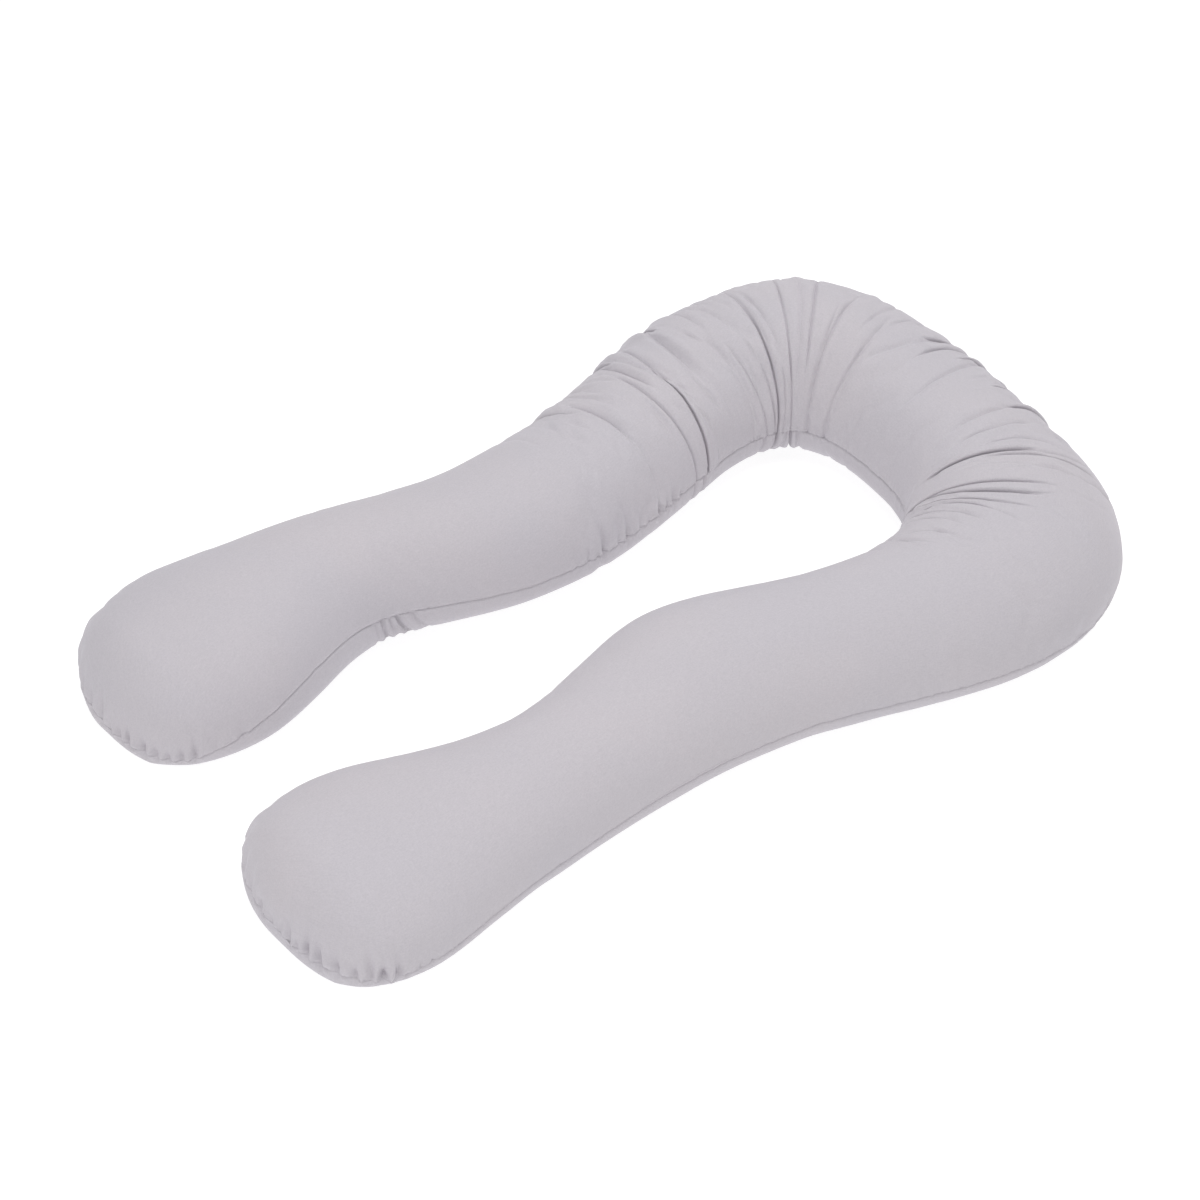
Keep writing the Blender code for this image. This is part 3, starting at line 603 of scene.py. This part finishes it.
def folds():
    """Outward and lengthwise movement of every mesh point, creases and bulges."""
    out, side = np.zeros((NR, NM)), np.zeros((NR, NM))
    for row in list(CREASES) + slack_creases():
        cols, _ = PANELS[row[0]]
        v0, v1, deep, half, core, lean = row[4:]
        v, s, k = V_ALL[0, cols], S_ALL[:, cols], STRETCH[:, cols]
        x = (s - midline(row, v)[None]) * k + 0.2 * core * lean
        tight = np.clip(k, 0.25, 1.0)
        half_, core_ = half * tight ** 0.6, core * tight ** 0.35
        open_ = crossing(v, v0, v1)[None]
        amount = deep * open_ * tight ** 0.45
        shape, slot = valley(x, half_, core_, lean, deep)
        out[:, cols] += amount * shape
        side[:, cols] -= TUCK * lean * amount * slot
    for panel, s0, s2, v0, v1, high, half in BULGES:
        cols, _ = PANELS[panel]
        v, s, k = V_ALL[0, cols], S_ALL[:, cols], STRETCH[:, cols]
        t = np.clip((v - v0) / (v1 - v0), 0, 1)
        tight = np.clip(k, 0.25, 1.0)
        x = (s - (s0 + (s2 - s0) * t)[None]) * k / (half * tight ** 0.6)
        out[:, cols] += high * np.exp(-x * x) * crossing(v, v0, v1)[None] * tight ** 0.5
    return out, side


def pucker(x):
    a = np.sqrt(x * x + 0.05) - 0.22
    return np.exp(-1.35 * a ** 1.15) - 0.26 * np.exp(-((a - 2.0) / 0.9) ** 2)


def seam_and_gathers():
    move = np.zeros((NR, NM))
    gap = SEAM_GAP
    at_feet = 1 + 0.9 * smoothstep((0.09 - np.minimum(S_ALL, LENGTH - S_ALL)) / 0.06)
    move -= SEAM_SIZE * (SEAM_DRAW * np.exp(-(gap / SEAM_DRAW_HALF) ** 1.4)
                         + SEAM_LINE * at_feet * np.exp(-(gap / SEAM_LINE_HALF) ** 1.5)
                         - SEAM_ROLL * np.exp(-((gap - SEAM_ROLL_AT) / 0.0012) ** 2))
    for s0, which, deep, half, up, down in PUCKERS:
        gap = FROM_INNER if which == "inner" else FROM_OUTER
        reach = np.where(IS_UP, up, down)
        x = (S_ALL - s0) * np.clip(STRETCH, 0.3, 2) / (half * (1 + 0.8 * gap / reach))
        move -= deep * pucker(x) * np.exp(-(gap / reach) ** 1.5)
    for foot, bearing, deep, half, up, down in GATHERS:
        left = foot == "left"
        hub = spline(KNOTS, TABLE[:, :2], np.array([0.105 if left else LENGTH - 0.105]))[0] + SHIFT
        near = smoothstep((0.30 - np.abs(S_ALL - (0 if left else LENGTH))) / 0.05)
        d = BASE[..., :2] - hub
        r = np.linalg.norm(d, axis=-1)
        turn = np.arctan2(d[..., 0], -d[..., 1]) - math.radians(bearing)
        turn = (turn + math.pi) % (2 * math.pi) - math.pi
        gap = SEAM_GAP
        reach = np.where(IS_UP, up, down)
        x = turn * r / (half * (1 + 0.9 * gap / reach))
        x = x * np.where(x > 0, 1.25, 0.80)         # steeper on one side
        held = 0.30 + 0.70 * smoothstep(gap / 0.008)     # the stitching holds the seam itself
        move -= near * (np.abs(turn) < 1.5) * deep * held * pucker(x) * np.exp(-(gap / reach) ** 1.6) * np.clip(r / 0.05, 0, 1)
    return move


def noise3(p, seed):
    """Smooth value noise in space, from -1 to 1."""
    table = np.random.default_rng(seed).uniform(-1, 1, 4096)
    i = np.floor(p).astype(np.int64)
    f = p - i
    f = f * f * f * (f * (f * 6 - 15) + 10)
    out = np.zeros(p.shape[:-1])
    for a in (0, 1):
        for b in (0, 1):
            for c in (0, 1):
                key = ((i[..., 0] + a) * 73856093) ^ ((i[..., 1] + b) * 19349663) ^ ((i[..., 2] + c) * 83492791)
                w = (f[..., 0] if a else 1 - f[..., 0]) * (f[..., 1] if b else 1 - f[..., 1]) * (
                    f[..., 2] if c else 1 - f[..., 2])
                out += w * table[key & 4095]
    return out


def stack(a, b, c):
    a, b, c = np.broadcast_arrays(a, b, c)
    return np.stack([a, b, c], -1)


def lumps():
    """Slow unevenness of the filling, and ripples where the seam gathers the cloth."""
    move = 0.0015 * noise3(BASE / 0.115, 3) + 0.0007 * noise3(BASE / 0.052, 5)
    # short ripples where the stitching takes up the cloth
    for gap, seed in ((FROM_OUTER, 21), (FROM_INNER, 22)):
        ripple = noise3(stack(S_ALL * np.clip(STRETCH, 0.4, 2) / 0.0100, gap / 0.05, 4.2), seed)
        ripple += 0.7 * noise3(stack(S_ALL * np.clip(STRETCH, 0.4, 2) / 0.0055, gap / 0.05, 9.2), seed + 5)
        move += 0.0009 * ripple * np.exp(-(gap / 0.014) ** 1.3) * SIZE
    return move


SIM_STEP, SIM_FRAMES = 0.0075, 20
SIM_PRESSURE, SIM_SLACK = 4.0, 0.02       # slack: how much longer the cloth is than the form
SIM_CAP, SIM_SHARE = 0.0050, 0.8
SIM_ARMS, SIM_BELOW = 0.22, 0.12          # the arms and the lower panel are filled tighter


def held_cloth(fold):
    """How firmly each point is held: by the seam, by a deep fold, by the floor."""
    seam = np.exp(-(SEAM_GAP / 0.006) ** 2)
    creased = smoothstep((-fold - 0.0012) / 0.0030)
    resting = 1 - smoothstep((BASE[..., 2] - 0.004) / 0.016)
    return np.clip(np.maximum(np.maximum(seam, creased), resting), 0, 1)


def simulated(fold):
    """Movement of the slack cover under the pressure of its filling, from a
    coarse cloth simulation, spread back onto every mesh point."""
    place = np.maximum.accumulate(S_ALL.mean(axis=1))
    rings = [0]
    for k in range(1, NR):
        if place[k] - place[rings[-1]] >= SIM_STEP:
            rings.append(k)
    rings = np.array(rings)
    cols = np.arange(0, NM, 2)
    nr, nc = len(rings), len(cols)
    form = BASE[np.ix_(rings, cols)]
    hold = held_cloth(fold)
    held = hold[np.ix_(rings, cols)].reshape(-1)
    verts = np.concatenate([form.reshape(-1, 3), [form[0].mean(0), form[-1].mean(0)]])
    i, j = np.meshgrid(np.arange(nr - 1), np.arange(nc), indexing="ij")
    j2 = (j + 1) % nc
    quads = np.stack([i * nc + j, (i + 1) * nc + j, (i + 1) * nc + j2, i * nc + j2], -1).reshape(-1, 4).tolist()
    k, k2 = np.arange(nc), (np.arange(nc) + 1) % nc
    last = (nr - 1) * nc
    fans = np.stack([k, k2, np.full(nc, nr * nc)], -1).tolist()
    fans += np.stack([last + k2, last + k, np.full(nc, nr * nc + 1)], -1).tolist()
    mesh = bpy.data.meshes.new("cloth_form")
    mesh.from_pydata(verts.tolist(), [], quads + fans)
    outward_faces(mesh)
    piece = bpy.data.objects.new("cloth_form", mesh)
    scene = bpy.context.scene
    scene.collection.objects.link(piece)
    group = piece.vertex_groups.new(name="held")
    for n, w in enumerate(np.r_[held, 1.0, 1.0].tolist()):
        if w > 0.01:
            group.add([n], w, "REPLACE")
    mod = piece.modifiers.new("cloth", "CLOTH")
    st = mod.settings
    st.quality, st.mass, st.air_damping = 6, 0.3, 2.0
    st.tension_stiffness = st.shear_stiffness = 15.0
    st.compression_stiffness, st.bending_stiffness = 10.0, 0.3
    st.shrink_min = st.shrink_max = -SIM_SLACK
    st.vertex_group_mass = "held"
    st.use_pressure, st.uniform_pressure_force = True, SIM_PRESSURE
    st.effector_weights.gravity = 0.0
    mod.collision_settings.use_collision = False
    mod.point_cache.frame_start, mod.point_cache.frame_end = 1, SIM_FRAMES
    for f in range(1, SIM_FRAMES + 1):
        scene.frame_set(f)
    done = piece.evaluated_get(bpy.context.evaluated_depsgraph_get())
    flat = np.zeros(len(verts) * 3)
    done.data.vertices.foreach_get("co", flat)
    bpy.data.objects.remove(piece)
    bpy.data.meshes.remove(mesh)
    scene.frame_set(1)
    moved = flat.reshape(-1, 3)[:nr * nc].reshape(nr, nc, 3) - form
    lift = (moved * NORMAL[np.ix_(rings, cols)]).sum(-1)
    free = 1 - held.reshape(nr, nc)
    lift = (lift - (lift * free).sum() / free.sum()) * free     # keeps the form's own size
    lift = SIM_CAP * np.tanh(lift / SIM_CAP) * SIM_SHARE
    wrap = np.concatenate([lift[:, -4:], lift, lift[:, :5]], 1)
    across = spline(np.arange(-4, nc + 5) * 2.0, wrap.T, np.arange(NM, dtype=float)).T
    lifted = spline(place[rings], across, np.clip(place, place[rings[0]], place[rings[-1]])) * (1 - hold)
    bend = smoothstep((S_ALL - 0.66) / 0.14) * smoothstep((2.00 - S_ALL) / 0.12)
    return lifted * (SIM_ARMS + (1 - SIM_ARMS) * bend) * np.where(IS_UP, 1.0, SIM_BELOW)


def skin_points():
    out, side = folds()
    out += simulated(out)
    out += seam_and_gathers() + lumps()
    level = np.clip(BASE[..., 2] / 0.014, 0, 1) ** 1.5      # nothing moves where it rests
    points = BASE + NORMAL * (out * level)[..., None] + ALONG * (side * level)[..., None]
    points[..., 2] = np.maximum(points[..., 2], 0.0)
    return points


def skin_object(points):
    verts = points.reshape(-1, 3)
    tips = np.array([points[0].mean(0), points[-1].mean(0)])
    i, j = np.meshgrid(np.arange(NR - 1), np.arange(NM), indexing="ij")
    j2 = (j + 1) % NM
    quads = np.stack([i * NM + j, (i + 1) * NM + j, (i + 1) * NM + j2, i * NM + j2], -1).reshape(-1, 4)
    k = np.arange(NM)
    k2 = (k + 1) % NM
    a, b = NR * NM, NR * NM + 1
    fan0 = np.stack([k, k2, np.full(NM, a)], -1)
    last = (NR - 1) * NM
    fan1 = np.stack([last + k2, last + k, np.full(NM, b)], -1)
    mesh = bpy.data.meshes.new("pillow_cover")
    mesh.from_pydata(np.concatenate([verts, tips]).tolist(), [], quads.tolist() + fan0.tolist() + fan1.tolist())
    # cloth coordinates in metres: round the section and along the tube
    layer = mesh.uv_layers.new(name="cloth")
    loops = np.zeros(len(mesh.loops), np.int64)
    mesh.loops.foreach_get("vertex_index", loops)
    uv = np.zeros((len(loops), 2))
    grid = loops < NR * NM
    row, col = np.divmod(np.where(grid, loops, 0), NM)
    uv[:, 0] = CLOTH_U[row, col]
    uv[:, 1] = S_ALL[row, col]
    poly = np.repeat(np.arange(len(quads)), 4)
    wrap = (j.reshape(-1)[poly] == NM - 1) & (col[:len(poly)] == 0)
    uv[:len(poly), 0] = np.where(wrap, CLOTH_END[row[:len(poly)]], uv[:len(poly), 0])
    uv[~grid] = (0.0, 0.0)
    layer.data.foreach_set("uv", uv.ravel())
    mesh.validate()
    mesh.update()
    return mesh


def outward_faces(mesh):
    import bmesh
    bm = bmesh.new()
    bm.from_mesh(mesh)
    bmesh.ops.recalc_face_normals(bm, faces=bm.faces[:])
    if bm.calc_volume(signed=True) < 0:
        bmesh.ops.reverse_faces(bm, faces=bm.faces[:])
    bm.to_mesh(mesh)
    bm.free()
    mesh.shade_smooth()


# ================================================================ the material
def link(tree, a, out, b, into):
    tree.links.new(a.outputs[out], b.inputs[into])


def jersey():
    m = bpy.data.materials.new("jersey_knit")
    m.use_nodes = True
    t = m.node_tree
    t.nodes.clear()
    out = t.nodes.new("ShaderNodeOutputMaterial")
    bsdf = t.nodes.new("ShaderNodeBsdfPrincipled")
    link(t, bsdf, "BSDF", out, "Surface")
    bsdf.inputs["Metallic"].default_value = 0.0
    bsdf.inputs["IOR"].default_value = 1.45
    bsdf.inputs["Specular IOR Level"].default_value = 0.20
    bsdf.inputs["Sheen Weight"].default_value = 0.30
    bsdf.inputs["Sheen Roughness"].default_value = 0.45
    bsdf.inputs["Sheen Tint"].default_value = (0.95, 0.93, 1.0, 1.0)
    coord = t.nodes.new("ShaderNodeTexCoord")

    def noise(scale, detail=2.0, rough=0.5, stretch=None):
        n = t.nodes.new("ShaderNodeTexNoise")
        n.inputs["Scale"].default_value = scale
        n.inputs["Detail"].default_value = detail
        n.inputs["Roughness"].default_value = rough
        if stretch:
            mp = t.nodes.new("ShaderNodeMapping")
            mp.inputs["Scale"].default_value = stretch
            link(t, coord, "UV", mp, "Vector")
            link(t, mp, "Vector", n, "Vector")
        else:
            link(t, coord, "Object", n, "Vector")
        return n

    def ramp(src, stops):
        r = t.nodes.new("ShaderNodeValToRGB")
        els = r.color_ramp.elements
        while len(els) > len(stops):
            els.remove(els[-1])
        while len(els) < len(stops):
            els.new(0.5)
        for e, (pos, col) in zip(els, stops):
            e.position = pos
            e.color = col
        link(t, src, "Fac", r, "Fac")
        return r

    def mix(kind, fac, a, b):
        x = t.nodes.new("ShaderNodeMix")
        x.data_type = "RGBA"
        x.blend_type = kind
        x.inputs[0].default_value = fac
        t.links.new(a, x.inputs[6])
        t.links.new(b, x.inputs[7])
        return x.outputs[2]

    tone = ramp(noise(5.0, 2.0), [(0.35, (0.508, 0.485, 0.519, 1)), (0.65, (0.522, 0.494, 0.524, 1))])
    heather = ramp(noise(420.0, 3.0, 0.7), [(0.30, (0.94, 0.94, 0.943, 1)), (0.70, (1.05, 1.05, 1.047, 1))])
    slub = ramp(noise(1.0, 2.0, 0.6, (900.0, 90.0, 1.0)), [(0.30, (0.965, 0.965, 0.97, 1)), (0.70, (1.03, 1.03, 1.028, 1))])
    colour = mix("MULTIPLY", 1.0, tone.outputs["Color"], heather.outputs["Color"])
    colour = mix("MULTIPLY", 1.0, colour, slub.outputs["Color"])
    t.links.new(colour, bsdf.inputs["Base Color"])

    rough = t.nodes.new("ShaderNodeMapRange")
    rough.inputs["To Min"].default_value = 0.84
    rough.inputs["To Max"].default_value = 0.98
    link(t, noise(60.0, 2.0), "Fac", rough, "Value")
    link(t, rough, "Result", bsdf, "Roughness")

    # knit: fine wales along the tube with small stitches in each
    mp = t.nodes.new("ShaderNodeMapping")
    link(t, coord, "UV", mp, "Vector")
    mp.inputs["Scale"].default_value = (1.0, 1.0, 1.0)
    wales = t.nodes.new("ShaderNodeTexWave")
    wales.wave_type = "BANDS"
    wales.bands_direction = "X"
    wales.inputs["Scale"].default_value = 260.0
    wales.inputs["Distortion"].default_value = 0.6
    wales.inputs["Detail"].default_value = 1.0
    wales.inputs["Detail Scale"].default_value = 2.0
    link(t, mp, "Vector", wales, "Vector")
    courses = t.nodes.new("ShaderNodeTexWave")
    courses.wave_type = "BANDS"
    courses.bands_direction = "Y"
    courses.inputs["Scale"].default_value = 330.0
    courses.inputs["Distortion"].default_value = 1.2
    courses.inputs["Detail"].default_value = 1.0
    link(t, mp, "Vector", courses, "Vector")
    knit = t.nodes.new("ShaderNodeMath")
    knit.operation = "MULTIPLY"
    link(t, wales, "Fac", knit, 0)
    link(t, courses, "Fac", knit, 1)
    b1 = t.nodes.new("ShaderNodeBump")
    b1.inputs["Strength"].default_value = 0.25
    b1.inputs["Distance"].default_value = 0.0004
    link(t, knit, "Value", b1, "Height")
    crepe = noise(180.0, 3.0, 0.6)
    b2 = t.nodes.new("ShaderNodeBump")
    b2.inputs["Strength"].default_value = 0.35
    b2.inputs["Distance"].default_value = 0.0008
    link(t, crepe, "Fac", b2, "Height")
    link(t, b1, "Normal", b2, "Normal")
    link(t, b2, "Normal", bsdf, "Normal")
    return m


# =================================================================== the pillow
points = skin_points()
mesh = skin_object(points)
outward_faces(mesh)
cover = bpy.data.objects.new("pillow_cover", mesh)
bpy.context.scene.collection.objects.link(cover)
cover.data.materials.append(jersey())
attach(cover, "root")
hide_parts("pillow")

# =============================================================== floor and light
scene = bpy.context.scene
scene.view_settings.view_transform = "Standard"
scene.view_settings.look = "None"
scene.view_settings.exposure = 0.0
scene.view_settings.gamma = 1.0

floor_mesh = bpy.data.meshes.new("floor")
floor_mesh.from_pydata([(-12, -12, 0), (12, -12, 0), (12, 12, 0), (-12, 12, 0)], [], [(0, 1, 2, 3)])
floor = bpy.data.objects.new("floor", floor_mesh)
floor.location.z = -0.0006
scene.collection.objects.link(floor)
fm = bpy.data.materials.new("pale_floor")
fm.use_nodes = True
fb = fm.node_tree.nodes["Principled BSDF"]
fb.inputs["Base Color"].default_value = (0.35, 0.35, 0.35, 1)
fb.inputs["Roughness"].default_value = 1.0
fb.inputs["Specular IOR Level"].default_value = 0.0
fb.inputs["Emission Color"].default_value = (1, 1, 1, 1)
fb.inputs["Emission Strength"].default_value = 0.78
floor.data.materials.append(fm)

world = bpy.data.worlds.new("studio")
scene.world = world
world.use_nodes = True
bg = world.node_tree.nodes["Background"]
bg.inputs["Color"].default_value = (1.0, 1.0, 1.0, 1)
bg.inputs["Strength"].default_value = 0.49

# One row a soft light: name, bearing in plan and height above the horizon in
# degrees, distance from the origin, width of its disc, power in watts.
LIGHTS = (
    ("overhead", 0, 90, 3.0, 2.0, 31.9),
    ("back_right", 45, 35, 3.4, 1.6, 7.8),
    ("back", 90, 35, 3.4, 1.6, 9.7),
    ("back_left", 135, 35, 3.4, 1.6, 12.6),
    ("left", 180, 35, 3.4, 1.6, 2.5),
    ("front_left", 270, 35, 3.4, 1.6, 9.0),
    ("front", 315, 35, 3.4, 1.6, 22.3),
)
for name, bearing, height, distance, size, power in LIGHTS:
    lamp = bpy.data.lights.new(name, "AREA")
    lamp.shape = "DISK"
    lamp.size = size
    lamp.energy = power
    holder = bpy.data.objects.new(name, lamp)
    b, h = math.radians(bearing), math.radians(height)
    spot = Vector((math.cos(b) * math.cos(h), math.sin(b) * math.cos(h), math.sin(h))) * distance
    holder.location = spot
    holder.rotation_euler = (Vector((0, 0, 0.1)) - spot).to_track_quat("-Z", "Y").to_euler()
    scene.collection.objects.link(holder)

# ==================================================================== the camera
AZIMUTH, ELEVATION, ROLL = math.radians(51.564), math.radians(40.472), math.radians(1.773)
DISTANCE, LENS_PX, AIM = 3.8195, 2750.22, Vector((-0.0109, -0.0391, 0.06))
back = Vector((math.sin(AZIMUTH) * math.cos(ELEVATION), -math.cos(AZIMUTH) * math.cos(ELEVATION), math.sin(ELEVATION)))
right = Vector((math.cos(AZIMUTH), math.sin(AZIMUTH), 0))
up = back.cross(right)
r2 = right * math.cos(ROLL) + up * math.sin(ROLL)
u2 = up * math.cos(ROLL) - right * math.sin(ROLL)
cam_data = bpy.data.cameras.new("camera")
cam_data.sensor_width = 36.0
cam_data.sensor_fit = "HORIZONTAL"
cam_data.lens = LENS_PX / 1200.0 * 36.0
cam_data.clip_end = 60
cam = bpy.data.objects.new("camera", cam_data)
rot = Matrix((r2, u2, back)).transposed().to_4x4()
cam.matrix_world = Matrix.Translation(AIM + back * DISTANCE) @ rot
scene.collection.objects.link(cam)
scene.camera = cam
